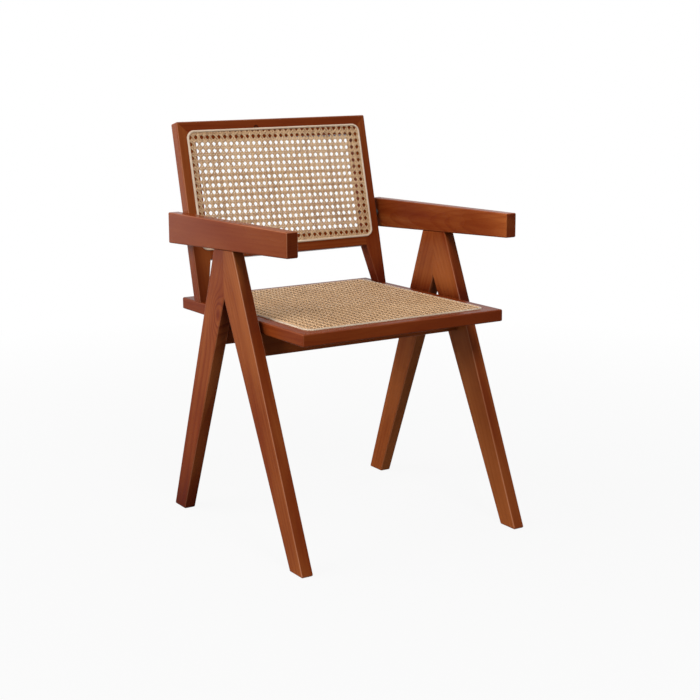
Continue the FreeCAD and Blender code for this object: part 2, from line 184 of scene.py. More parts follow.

# along is the grain's direction, heart the heart line's offset across the board in metres, ring the
# width of one year's growth, taper the rings' slant along the board, tone a shift of the stain's depth
# (more is paler), drift its change per metre along the grain, and figure the strength of the grain.
# paintedShade lists places with a reach in metres and a share of painted shade for a neighbour's shadow,
# less than 0 where light is painted instead; paintedShadeBand does so on both sides of a place, and
# edgeShading and paintedEdgeShade on the narrow sides alone.
# wearAndHighlight is the lightening of the arrises, partly stain rubbed thin and partly a painted
# highlight, and lessWearAndHighlight a place and reach where it fades out, as painted shade; endGrain
# and endLines the ends' brightness and dark lines, knot a round knot's middle and pinKnot a tiny one's
boards = {
    "arm_left": dict(
        along=(0, 1, -0.026), heart=(0.02, 0.16), ring=0.0085, taper=0.016,
        tone=0.08, figure=0.7, drift=-0.20, endGrain=0.74),
    "arm_right": dict(
        along=(0, 1, -0.026), heart=(0.030, 0.004), ring=0.0060, taper=0.085,
        tone=-0.01, figure=1.5, drift=0.30, wearAndHighlight=0.08, endGrain=0.67, endLines=0.26,
        paintedShade=[(*rightArmFront, 0.15, -0.52)]),
    "leg_front_left": dict(
        along=(0, 0.394, 0.919), heart=(0.03, 0.15), ring=0.0095, taper=0.010,
        tone=0.24, edgeShading=-0.23, figure=1.7, drift=0.04, wearAndHighlight=0.55,
        paintedShade=[(*underArm, 0.070, 0.24)],
        paintedEdgeShade=[(*downFromSeat, 0.13, 0.50), (*underArm, 0.20, -0.92)]),
    "leg_front_right": dict(
        along=(0, 0.394, 0.919), heart=(0.05, 0.12), ring=0.0100, taper=0.014,
        tone=0.14, figure=1.4, edgeShading=0.08, wearAndHighlight=0.60, lessWearAndHighlight=(*underArm, 0.22),
        paintedShade=[(*underArm, 0.120, 0.46), (*innerRight, 0.004, -0.40)],
        paintedShadeBand=[(*seatLevel, 0.050, 0.62)],
        paintedEdgeShade=[(*downFromSeat, 0.12, 0.20), (*underArm, 0.11, -0.75)]),
    "leg_rear_left": dict(
        along=(0, -0.330, 0.944), heart=(0.05, 0.09), ring=0.0150, taper=0.020,
        tone=0.08, edgeShading=0.20, figure=1.4, knot=(-0.263, 0.0345, 0.4475),
        paintedShade=[(*underArm, 0.070, 0.30), (*upFromFloor, 0.28, 0.60)],
        paintedEdgeShade=[(*downFromCrotch, 0.16, 0.55)]),
    "leg_rear_right": dict(
        along=(0, -0.330, 0.944), heart=(0.04, 0.11), ring=0.0090, taper=0.012,
        tone=0.10, figure=1.1, edgeShading=0.62,
        paintedShade=[(*underArm, 0.110, 0.10), (*innerRight, 0.004, -0.24)],
        paintedShadeBand=[(*seatLevel, 0.050, 0.62)]),
    "crossbar_front": dict(along=(1, 0, 0), heart=(0.09, 0.05), ring=0.0080, taper=0.014, tone=0.20),
    "crossbar_rear": dict(along=(1, 0, 0), heart=(-0.08, 0.06), ring=0.0085, taper=0.012, tone=-0.06),
    "seat_rail_front": dict(
        along=(1, 0, 0), heart=(0.12, 0.03), ring=0.0090, taper=0.012,
        tone=-0.10, figure=0.8, drift=-0.25, wearAndHighlight=0.10),
    "seat_rail_rear": dict(
        along=(1, 0, 0), heart=(-0.11, 0.03), ring=0.0085, taper=0.014, tone=-0.02, wearAndHighlight=0.12),
    "seat_rail_left": dict(
        along=(0, 1, -0.009), heart=(0.03, 0.06), ring=0.0070, taper=0.050, tone=-0.10, wearAndHighlight=0.12),
    "seat_rail_right": dict(
        along=(0, 1, -0.009), heart=(-0.12, 0.04), ring=0.0085, taper=0.012, tone=-0.02, wearAndHighlight=0.12,
        paintedShade=[(*rightRailEdge, 0.026, 0.55)]),
    "back_upright_left": dict(
        along=(0, 0.242, 0.970), heart=(0.10, 0.03), ring=0.0085, taper=0.012, tone=0.20,
        paintedShade=[(*aboveSeat, 0.16, 0.33)], paintedShadeBand=[(*underArm, 0.045, 0.24)]),
    "back_upright_right": dict(
        along=(0, 0.242, 0.970), heart=(-0.12, 0.04), ring=0.0090, taper=0.014, tone=0.05, wearAndHighlight=0.12,
        paintedShade=[(*aboveSeat, 0.090, 0.85)]),
    "back_top_rail": dict(
        along=(1, 0, 0), heart=(0.04, 0.10), ring=0.0090, taper=0.018, tone=-0.04,
        pinKnot=(-0.0457, 0.2560, 0.7936)),
    "back_bottom_rail": dict(along=(1, 0, 0), heart=(0.05, 0.12), ring=0.0085, taper=0.012, tone=0.06),
}


def boardTurn(along):
    # a board's own axes: x along the grain, y across it (sideways where it can), z square to both
    x = Vector(along).normalized()
    side = Vector((1, 0, 0)) if abs(x.x) < 0.5 else Vector((0, -1, 0))
    y = (side - x * side.dot(x)).normalized()
    z = x.cross(y)
    return Matrix((x, y, z)).transposed()


def knotBell(tree, place, turn, middle):
    # extra rings round a knot's axis = rings * exp(-(distance / reach)^2)
    gap = vectorMath(tree, "SUBTRACT", place, middle)
    gap = addNode(tree, "Mapping", gap, (0, 0, 0), turn.to_euler()[:], knotShape["stretch"],
                  vector_type="TEXTURE").outputs[0]
    gap = math1(tree, "DIVIDE", measured(tree, "LENGTH", gap), knotShape["reach"])
    bell = math1(tree, "EXPONENT", times(tree, math1(tree, "POWER", gap, 2.0), -1.0))
    return times(tree, bell, knotShape["rings"])


# painted shade near a neighbouring piece, where its shadow falls, and painted light where the share is
# below 0
def paintedShadeNear(tree, place, point, away, reach, share=1.0, bothWays=False):
    # share * (1 - distance from the neighbour / reach)^2
    gap = measured(tree, "DOT_PRODUCT", vectorMath(tree, "SUBTRACT", place, point), away)
    gap = math1(tree, "ABSOLUTE", gap) if bothWays else gap
    near = math1(tree, "POWER", ranged(tree, gap, 0.0, reach, 1.0, 0.0), 2.0)
    return times(tree, near, share)


def facingOf(tree, normal, axis):
    # 1 where a face looks along the axis, either way, and 0 where it lies along it
    return math1(tree, "ABSOLUTE", measured(tree, "DOT_PRODUCT", normal, axis[:]))


def wearAndHighlightOf(tree, place, normal, turn, board, patches):
    # the rounded arrises are lightened, partly stain rubbed thin and partly a painted highlight, where
    # the normal is along none of the board's axes
    squarest = None
    for axis in turn.transposed():
        facing = facingOf(tree, normal, axis)
        squarest = facing if squarest is None else math1(tree, "MAXIMUM", squarest, facing)
    wornHighlight = ranged(tree, squarest, *woodFinish["arrisSpan"], 0.0, board.get("wearAndHighlight", woodFinish["wearAndHighlight"]))
    wornHighlight = times(tree, wornHighlight, spread(tree, patches, *woodFinish["wearAndHighlightPatches"]))
    if "lessWearAndHighlight" in board:  # less painted highlight and wear near a place where the arm's shadow falls, growing away from it
        wornHighlight = times(tree, wornHighlight, minus(tree, 1.0, paintedShadeNear(tree, place, *board["lessWearAndHighlight"])))
    rise = addNode(tree, "SeparateXYZ", normal).outputs[2]
    return times(tree, wornHighlight, ranged(tree, rise, *woodFinish["undersideSpan"], 0.0, 1.0))  # no painted highlight or wear on arrises facing down, where shade falls


def woodOf(node, board, seed):
    finish = woodFinish
    material, tree, shader = newMaterial("stainedWood_" + node)
    turn = boardTurn(board["along"])
    low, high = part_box(node)
    heart = (low + high) / 2 + turn @ Vector((0.0, *board["heart"]))
    coordinates = addNode(tree, "TexCoord").outputs
    place, normal = coordinates["Object"], coordinates["Normal"]
    inBoard = addNode(tree, "Mapping", place, heart[:], turn.to_euler()[:],
                      vector_type="TEXTURE").outputs[0]
    moved = vectorMath(tree, "ADD", inBoard, tuple(shift * seed for shift in finish["seedShift"]))

    # ring phase = (distance from the heart line + slant * length + slow wander) / ring width
    distance = measured(tree, "LENGTH", vectorMath(tree, "MULTIPLY", inBoard, (0, 1, 1)))
    length = addNode(tree, "SeparateXYZ", inBoard).outputs[0]
    slant = times(tree, length, board["taper"])
    wander = times(tree, noiseOf(tree, moved, *finish["wanderNoise"]), finish["wander"])
    phase = math1(tree, "DIVIDE", plus(tree, plus(tree, distance, slant), wander), board["ring"])
    # the figure is strong in places and fades in others
    shown = noiseOf(tree, moved, *finish["figureNoise"])
    shown = ranged(tree, shown, *finish["figureSpan"], finish["figureLeast"], 1.0)
    if "knot" in board:  # rings close round the knot and show well there
        bell = knotBell(tree, place, turn, board["knot"])
        phase = plus(tree, phase, bell)
        shown = plus(tree, shown, times(tree, bell, knotShape["showing"]))
    rings = rampOf(tree, math1(tree, "FRACT", phase), finish["year"], "EASE")
    rings = plus(tree, times(tree, minus(tree, rings, 0.5), shown), 0.5)

    # depth = 0.5 + tone + drift * length + the sum of figure * weight * (pattern - 0.5)
    fibres = noiseOf(tree, moved, *finish["fibreNoise"])
    streaks = noiseOf(tree, moved, *finish["streakNoise"])
    clouds = noiseOf(tree, moved, *finish["cloudNoise"])
    depth = plus(tree, times(tree, length, board.get("drift", 0.0)), 0.5 + board["tone"])
    patterns = dict(ringWeight=rings, fibreWeight=fibres, streakWeight=streaks, cloudWeight=clouds)
    for weight, pattern in patterns.items():
        amount = finish[weight] * board.get("figure", 1.0)
        depth = plus(tree, depth, times(tree, minus(tree, pattern, 0.5), amount))

    # the narrow sides of a board are painted darker or lighter than its faces: painted shade and light
    # for how the light falls on them
    narrow = facingOf(tree, normal, turn @ Vector((0, 0, 1)))
    narrow = ranged(tree, narrow, *finish["sideSpan"], 0.0, 1.0)
    depth = plus(tree, depth, times(tree, narrow, board.get("edgeShading", 0.0)))
    # painted shade where neighbouring pieces' shadows fall deepens the stain, and painted light where a
    # share is below 0 makes it paler
    corners = [paintedShadeNear(tree, place, *corner) for corner in board.get("paintedShade", ())]
    corners += [paintedShadeNear(tree, place, *corner, bothWays=True) for corner in board.get("paintedShadeBand", ())]
    corners += [times(tree, paintedShadeNear(tree, place, *corner), narrow)
                for corner in board.get("paintedEdgeShade", ())]
    for share in corners:
        depth = minus(tree, depth, share)
    # the stain sinks deeper into end grain, so faces square to the grain are darker and redder
    ends = facingOf(tree, normal, turn @ Vector((1, 0, 0)))
    ends = ranged(tree, ends, *finish["endSpan"], 0.0, 1.0)
    depth = minus(tree, depth, times(tree, ends, finish["endDepth"]))

    stops = [(at * finish["rampScale"], finish[colour]) for colour, at in finish["depths"].items()]
    stained = rampOf(tree, times(tree, depth, finish["rampScale"]), stops)
    withWearAndHighlight = addNode(tree, "Mix", data_type="RGBA")  # inputs 6 and 7 are colours, output 2 their blend
    tree.links.new(wearAndHighlightOf(tree, place, normal, turn, board, clouds), withWearAndHighlight.inputs["Factor"])
    tree.links.new(stained, withWearAndHighlight.inputs[6])
    withWearAndHighlight.inputs[7].default_value = (*finish["wornHighlight"], 1.0)

    # brightness = 1 - what end grain, pores, late wood on the ends, a pin knot and the painted shade
    # take
    pores = ranged(tree, noiseOf(tree, moved, *finish["poreNoise"]), *finish["poreSpan"], 0.0, 1.0)
    taken = times(tree, ends, 1.0 - board.get("endGrain", finish["endGrain"]))
    taken = plus(tree, taken, times(tree, pores, finish["poreShade"]))
    lines = math1(tree, "FRACT", times(tree, phase, finish["linesPerRing"]))
    lines = ranged(tree, lines, *finish["lineSpan"], 0.0, board.get("endLines", finish["endLines"]))
    taken = plus(tree, taken, times(tree, ends, lines))
    if "pinKnot" in board:  # a dark ring of bark
        shape = pinKnotShape
        gap = minus(tree, measured(tree, "DISTANCE", place, board["pinKnot"]), shape["radius"])
        gap = math1(tree, "ABSOLUTE", gap)
        taken = plus(tree, taken, ranged(tree, gap, shape["bark"], shape["fade"], shape["shade"], 0.0))
    # the painted shade also dims the colour, and painted light brightens it
    for share in corners:
        taken = plus(tree, taken, times(tree, share, finish["cornerShade"]))
    wire(tree, scaled(tree, withWearAndHighlight.outputs[2], minus(tree, 1.0, taken)), shader, "Base Color")

    wire(tree, spread(tree, clouds, *finish["rough"]), shader, "Roughness")
    relief = minus(tree, times(tree, fibres, finish["fibreRelief"]), pores)
    bumped(tree, shader, relief, finish["bump"], finish["bumpDepth"])
    shader.inputs["Specular IOR Level"].default_value = finish["specular"]
    shader.inputs["IOR"].default_value = finish["refraction"]
    return material


for seed, (node, board) in enumerate(boards.items(), 1):
    dress(node, woodOf(node, board, seed))
print("stained wood on", len(boards), "boards")


# hidden joinery: bare beech, plated steel and dark nylon, each with a fine and a broad noise, the fine
# one's share of the colour, the two shades, and the bump's strength and depth
joineryFinishes = {
    "bareBeech": dict(
        fine=((260, 260, 900), 2.0), broad=((30, 30, 30), 2.0), fineShare=0.6,
        dark=(0.36, 0.21, 0.105), light=(0.52, 0.34, 0.19),
        rough=(0.55, 0.70), bump=(0.12, 0.0003), metallic=0.0,
        nodes=("leg_head_tenons", "arm_dowels", "seat_corner_tenons", "back_corner_tenons",
               "upright_dowels")),
    "zincPlate": dict(
        fine=((2400, 2400, 300), 2.0), broad=((220, 220, 220), 3.0), fineShare=0.0,
        dark=(0.42, 0.42, 0.40), light=(0.60, 0.60, 0.60),
        rough=(0.26, 0.42), bump=(0.08, 0.0001), metallic=1.0,
        nodes=("seat_screws", "upright_screws", "arm_bolts", "arm_inserts")),
    "darkNylon": dict(
        fine=((1600, 1600, 1600), 2.0), broad=((90, 90, 90), 2.0), fineShare=0.0,
        dark=(0.016, 0.011, 0.009), light=(0.030, 0.022, 0.018),
        rough=(0.48, 0.62), bump=(0.10, 0.0002), metallic=0.0,
        nodes=("arm_spacers",)),
}


def joineryOf(name, finish):
    # from dark to light = share * fine noise + (1 - share) * broad noise
    material, tree, shader = newMaterial(name)
    place = addNode(tree, "TexCoord").outputs["Object"]
    fine, broad = noiseOf(tree, place, *finish["fine"]), noiseOf(tree, place, *finish["broad"])
    share = finish["fineShare"]
    mixed = plus(tree, times(tree, fine, share), times(tree, broad, 1.0 - share))
    stops = zip(noiseSpan, (finish["dark"], finish["light"]))
    wire(tree, rampOf(tree, mixed, list(stops)), shader, "Base Color")
    wire(tree, spread(tree, fine, *finish["rough"]), shader, "Roughness")
    bumped(tree, shader, fine, *finish["bump"])
    shader.inputs["Metallic"].default_value = finish["metallic"]
    return material


for name, finish in joineryFinishes.items():
    material = joineryOf(name, finish)
    for node in finish["nodes"]:
        dress(node, material)
print("joinery finished")


# panels: a sloping plane with its own across, along and height axes, all in metres. halfWidth, low, high
# and corner bound the cane that shows inside the spline, loft is how full its weave stands and proud
# how high its spline
backPanel = dict(origin=(0.0, 0.16939, 0.44625), turn=math.radians(76.0),
                 halfWidth=0.207, low=0.1105, high=0.3525, corner=0.013, loft=1.0, proud=0.0031)
seatPanel = dict(origin=(0.0, -0.24561, 0.45), turn=math.radians(-0.5177),
                 halfWidth=0.201, low=0.030, high=0.468, corner=0.013, loft=1.4, proud=0.0025)


def onPanel(panel, across, along, height):
    # a point = origin + across * X + along * the plane's rise + height * the plane's normal
    c, s = math.cos(panel["turn"]), math.sin(panel["turn"])
    x0, y0, z0 = panel["origin"]
    return np.stack([x0 + across, y0 + along * c - height * s, z0 + along * s + height * c], -1)


def cornerCentres(panel):
    # the middle of the panel along its slope, and how far its rounded corners' centres lie from there
    low, high, corner = panel["low"], panel["high"], panel["corner"]
    return (low + high) / 2, panel["halfWidth"] - corner, (high - low) / 2 - corner


def insideBy(panel, across, along, grow):
    # depth inside the panel's round-cornered rectangle, made larger by grow: positive within it
    middle, halfAcross, halfAlong = cornerCentres(panel)
    qx = np.abs(across) - halfAcross
    qy = np.abs(along - middle) - halfAlong
    outside = np.hypot(np.maximum(qx, 0), np.maximum(qy, 0))
    return panel["corner"] + grow - outside - np.minimum(np.maximum(qx, qy), 0)


def meshOf(name, points, faces, smooth=True):
    # a grid's points and faces as an object at the origin
    mesh = bpy.data.meshes.new(name)
    mesh.from_pydata(points.reshape(-1, 3), [], faces)
    mesh.polygons.foreach_set("use_smooth", np.full(len(mesh.polygons), smooth))
    piece = bpy.data.objects.new(name, mesh)
    bpy.context.scene.collection.objects.link(piece)
    return piece


# cane webbing: upright and crosswise pairs that cross in blocks, with single diagonals through the
# middles between blocks, so each hole is an octagon; lengths are in metres
caneWeave = dict(
    wide=0.00270, thick=0.00070, pairHalf=0.00150,  # half the way from one strand of a pair to the other
    diagonalWide=0.00270, diagonalThick=0.00060, diagonalFlat=1.3,  # how far its waves are cut flat
    middleHeight=0.00106, pairLift=0.00057, diagonalLift=0.00064,  # over and under the middle
    stray=0.00012, straySteady=0.7, strayWave=0.6, waveRate=(0.25, 0.5), waveStart=(0, 6.3),
    widthSpread=0.06, tuck=0.0012,  # how far strands run on under the spline
    reach=48, tries=9601, stepsPerPitch=8, shortest=0.2,  # lattice steps each way, and the least kept
    toneShift=3.0,  # slides each strand's pattern along by its tone
)
# pitch across and along the panel, turn of the rows and of the columns, one hole's middle
backWeave = dict(pitch=(0.01353, 0.01446), rowTilt=math.radians(-1.15), columnTilt=math.radians(-0.66),
                 start=(-0.17847, 0.32760), seed=11)
seatWeave = dict(pitch=(0.01457, 0.01346), rowTilt=math.radians(0.22), columnTilt=math.radians(0.85),
                 start=(-0.0032, 0.2419), seed=23)

# section of one strand, flat below and rounded above, in widths and thicknesses
strandSection = np.array([(-0.5, -0.30), (-0.36, -0.5), (0.36, -0.5), (0.5, -0.30),
                          (0.30, 0.5), (-0.30, 0.5)])
# its points again, for painted shade: 1 at the split edges, less on the underside, 0 on the glossy skin;
# partly the split edges' own colour, partly shade between strands and in the holes
strandEdgeShade = np.array([1, 0.5, 0.5, 1, 0, 0])
innerEdgeShade = 0.35  # the same at the edge that lies against the partner in a pair
partnerFrom = 0.4  # how far out a point of the section counts as that edge


def latticePoint(laid, u, v):
    # lattice steps (u, v) to panel metres: scaled by the pitches, turned by the tilts, from a hole's
    # centre, which lies half a step from the strands each way
    a, b = (u - 0.5) * laid["pitch"][0], (v - 0.5) * laid["pitch"][1]
    rows, columns = laid["rowTilt"], laid["columnTilt"]
    return (laid["start"][0] + a * math.cos(rows) - b * math.sin(columns),
            laid["start"][1] + a * math.sin(rows) + b * math.cos(columns))


def strandEnds(panel, laid, u0, v0, du, dv):
    # which strands to keep, and the first and last of many tries along each that lie within the panel
    tries = np.linspace(-caneWeave["reach"], caneWeave["reach"], caneWeave["tries"])
    across, along = latticePoint(laid, u0[:, None] + du * tries, v0[:, None] + dv * tries)
    within = insideBy(panel, across, along, caneWeave["tuck"]) > 0
    first = tries[within.argmax(1)]
    last = tries[tries.size - 1 - within[:, ::-1].argmax(1)]
    return within.any(1) & (last - first > caneWeave["shortest"]), first, last


def strandsOf(name, panel, laid, families, material, replaced):
    # a strand = its section carried along a straight line of the lattice, at a height that changes on
    # the way. Each family: starts (u0, v0), direction (du, dv) per lattice step, width, thickness,
    # height, and the side on which a strand's partner lies
    weave = caneWeave
    draw = np.random.default_rng(laid["seed"] + len(name))
    station = np.arange(-weave["reach"], weave["reach"] + 1e-9, 1.0 / weave["stepsPerPitch"])
    stations, ringCount = station.size, len(strandSection)
    k = np.arange(ringCount)
    nextK = (k + 1) % ringCount
    allPoints, allFaces, allTones, allLengths, allEdges = [], [], [], [], []
    offset = 0
    for u0, v0, du, dv, wide, thick, heightOf, partnerSide in families:
        kept, first, last = strandEnds(panel, laid, u0, v0, du, dv)
        u0, v0, first, last = (values[kept] for values in (u0, v0, first, last))
        count = len(u0)

        # the stations are held between the strand's two ends
        t = np.clip(station[None, :], first[:, None], last[:, None])
        u, v = u0[:, None] + du * t, v0[:, None] + dv * t
        a, b = latticePoint(laid, u, v)
        runX, runY = latticePoint(laid, np.array([0.0, du]), np.array([0.0, dv]))
        run = np.array([runX[1] - runX[0], runY[1] - runY[0]])
        pace = math.hypot(*run)
        sideX, sideY = -run[1] / pace, run[0] / pace

        # each strand strays a little to one side and differs a little in width
        steady = weave["straySteady"] * draw.normal(size=(count, 1))
        rate = draw.uniform(*weave["waveRate"], (count, 1))
        swing = np.sin(t * rate + draw.uniform(*weave["waveStart"], (count, 1)))
        sway = weave["stray"] * (steady + weave["strayWave"] * swing)
        a, b = a + sideX * sway, b + sideY * sway
        width = wide * (1 + weave["widthSpread"] * draw.normal(size=(count, 1, 1)))
        out = strandSection[None, None, :, 0] * width
        height = panel["loft"] * (weave["middleHeight"] + heightOf(u, v, kept))
        height = height[..., None] + strandSection[None, None, :, 1] * thick * panel["loft"]
        points = onPanel(panel, a[..., None] + sideX * out, b[..., None] + sideY * out, height)

        # stations beyond an end fall on it, so only the stretches with length keep faces
        longEnough = np.diff(t, axis=1) > 1e-6
        strand, step = np.nonzero(longEnough)
        ring = strand * stations + step
        base = ring[:, None] * ringCount
        ahead = base + ringCount
        quads = np.stack([base + k, base + nextK, ahead + nextK, ahead + k], -1).reshape(-1, 4)
        firstRing = np.arange(count) * stations + longEnough.argmax(1)
        lastRing = np.arange(1, count + 1) * stations - 1 - longEnough[:, ::-1].argmax(1)
        startCaps = firstRing[:, None] * ringCount + k[::-1]
        endCaps = lastRing[:, None] * ringCount + k

        # only the rings in use are kept, so the faces are numbered anew
        used = np.zeros(count * stations, bool)
        used[ring] = True
        used[ring + 1] = True
        renumber = (np.cumsum(used) - 1) * ringCount + offset
        for faces in (quads, startCaps, endCaps):
            allFaces += (renumber[faces // ringCount] + faces % ringCount).tolist()
        allPoints.append(points.reshape(-1, ringCount, 3)[used].reshape(-1, 3))
        tone = np.repeat(draw.uniform(0, 1, count), stations)[used]
        allTones.append(np.repeat(tone, ringCount))
        allLengths.append(np.repeat((t * pace).reshape(-1)[used], ringCount))
        towards = partnerSide[kept][:, None] * strandSection[None, :, 0] > partnerFrom
        edge = np.where(towards, innerEdgeShade, strandEdgeShade[None, :])
        allEdges.append(np.repeat(edge, stations, 0)[used].ravel())
        offset += len(allPoints[-1])

    piece = meshOf(name, np.concatenate(allPoints), allFaces)
    mesh = piece.data
    tones, edges = np.concatenate(allTones), np.concatenate(allEdges)
    for label, values in (("strandTone", tones), ("strandEdgeShade", edges)):
        attribute = mesh.attributes.new(label, "FLOAT", "POINT")
        attribute.data.foreach_set("value", values.astype(np.float32))
    corner = np.empty(len(mesh.loops), np.int32)
    mesh.loops.foreach_get("vertex_index", corner)
    lengthwise = np.concatenate(allLengths)[corner] + weave["toneShift"] * tones[corner]
    strandMap = mesh.uv_layers.new(name="strandMap")
    aroundIt = (corner % ringCount) / ringCount
    strandMap.data.foreach_set("uv", np.stack([lengthwise, aroundIt], -1).astype(np.float32).ravel())
    mesh.materials.append(material)
    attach(piece, "root")
    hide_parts(replaced)
    return piece


def weavePanel(label, panel, laid, material, replaced):
    # pairs lie to both sides of each whole lattice step, and diagonals start at the halves
    weave = caneWeave
    whole = np.arange(-weave["reach"], weave["reach"] + 1)
    sides = np.tile([-1.0, 1.0], whole.size)
    pairs = np.repeat(whole, 2).astype(float)
    zero = np.zeros(pairs.size)
    halves = whole + 0.5
    flat = np.zeros(halves.size)
    pairSize = weave["wide"], weave["thick"]
    diagonalSize = weave["diagonalWide"], weave["diagonalThick"]
    besideU, besideV = (sides * weave["pairHalf"] / pitch for pitch in laid["pitch"])

    # a pair's two strands cross each other's partners on opposite sides:
    # height = side * lift * sin(2 pi step)
    def uprightHeight(u, v, kept):
        return sides[kept][:, None] * weave["pairLift"] * np.sin(2 * np.pi * v)

    def crosswiseHeight(u, v, kept):
        return -sides[kept][:, None] * weave["pairLift"] * np.sin(2 * np.pi * u)

    # one diagonal passes over the crosswise pairs and under the uprights, the other the opposite way:
    # height = lift * cos(2 pi step), cut flat at its tops
    def risingHeight(u, v, kept):
        return weave["diagonalLift"] * np.clip(weave["diagonalFlat"] * np.cos(2 * np.pi * v), -1, 1)

    def fallingHeight(u, v, kept):
        return -risingHeight(u, v, kept)

    uprights = (pairs + besideU, zero, 0.0, 1.0, *pairSize, uprightHeight, sides)
    crosswise = (zero, pairs + besideV, 1.0, 0.0, *pairSize, crosswiseHeight, -sides)
    rising = (halves, flat, 1.0, 1.0, *diagonalSize, risingHeight, flat)
    falling = (halves, flat, -1.0, 1.0, *diagonalSize, fallingHeight, flat)
    return [
        strandsOf(label + "CaneUprights", panel, laid, [uprights], material, replaced),
        strandsOf(label + "CaneCrosswise", panel, laid, [crosswise], material, replaced),
        strandsOf(label + "CaneDiagonals", panel, laid, [rising, falling], material, replaced),
    ]


caneFinish = dict(
    dark=(0.26, 0.136, 0.062), middle=(0.49, 0.300, 0.156), light=(0.66, 0.455, 0.268),
    depths=dict(dark=0.20, middle=0.52, light=0.85), depth=0.54,
    fibreNoise=((55, 26, 1), 3.0), patchNoise=((28, 0.8, 1), 3.0, 0.6), cloudNoise=((9, 9, 9), 2.0),
    edgeSpan=(0.35, 0.95), edgeShade=0.30, rough=(0.36, 0.52), specular=0.4, bump=0.25, bumpDepth=0.0002,
)
# how far strands, fibres, patches and clouds differ in depth: the seat's cane is the more even one
backCaneWeights = dict(tone=0.42, fibres=0.34, patches=0.50, clouds=0.30)
seatCaneWeights = dict(tone=0.16, fibres=0.30, patches=0.22, clouds=0.30)


def caneOf(name, weights):
    finish = caneFinish
    material, tree, shader = newMaterial(name)
    strandMap = addNode(tree, "UVMap", uv_map="strandMap").outputs[0]
    place = addNode(tree, "TexCoord").outputs["Object"]
    patterns = dict(
        tone=addNode(tree, "Attribute", attribute_name="strandTone").outputs["Fac"],
        fibres=noiseOf(tree, strandMap, *finish["fibreNoise"]),
        patches=noiseOf(tree, strandMap, *finish["patchNoise"]),
        clouds=noiseOf(tree, place, *finish["cloudNoise"]),
    )
    # depth = the usual depth + the sum of weight * (pattern - 0.5)
    depth = finish["depth"]
    for kind, pattern in patterns.items():
        depth = plus(tree, times(tree, minus(tree, pattern, 0.5), weights[kind]), depth)
    stops = [(at, finish[colour]) for colour, at in finish["depths"].items()]
    stained = rampOf(tree, depth, stops)
    # strand edges and undersides darkened: partly the split edges' own colour, partly painted shade
    # between the strands and in the holes
    edge = addNode(tree, "Attribute", attribute_name="strandEdgeShade").outputs["Fac"]
    shade = ranged(tree, edge, *finish["edgeSpan"], 1.0, finish["edgeShade"])
    wire(tree, scaled(tree, stained, shade), shader, "Base Color")
    wire(tree, spread(tree, patterns["patches"], *finish["rough"]), shader, "Roughness")
    bumped(tree, shader, patterns["fibres"], finish["bump"], finish["bumpDepth"])
    shader.inputs["Specular IOR Level"].default_value = finish["specular"]
    return material


backCane = caneOf("wovenCaneBack", backCaneWeights)
backPieces = weavePanel("back", backPanel, backWeave, backCane, "back_cane")
print("back cane woven,", sum(len(p.data.polygons) for p in backPieces), "faces")
seatCane = caneOf("wovenCaneSeat", seatCaneWeights)
seatPieces = weavePanel("seat", seatPanel, seatWeave, seatCane, "seat_cane")
print("seat cane woven,", sum(len(p.data.polygons) for p in seatPieces), "faces")


# reed spline: a crowned section carried round the panel's rounded rectangle, pressed into its groove
splineShape = dict(
    width=0.005, fit=0.985,  # the groove's width, and how much of it the reed fills
    sunk=0.0032, shoulder=0.0004, crownSteps=8, arcSteps=12, runSteps=60,
    ripple=0.00007, ripples=(23, 61), rippleStart=(0, 6),  # the waves' height, and how many go round
)


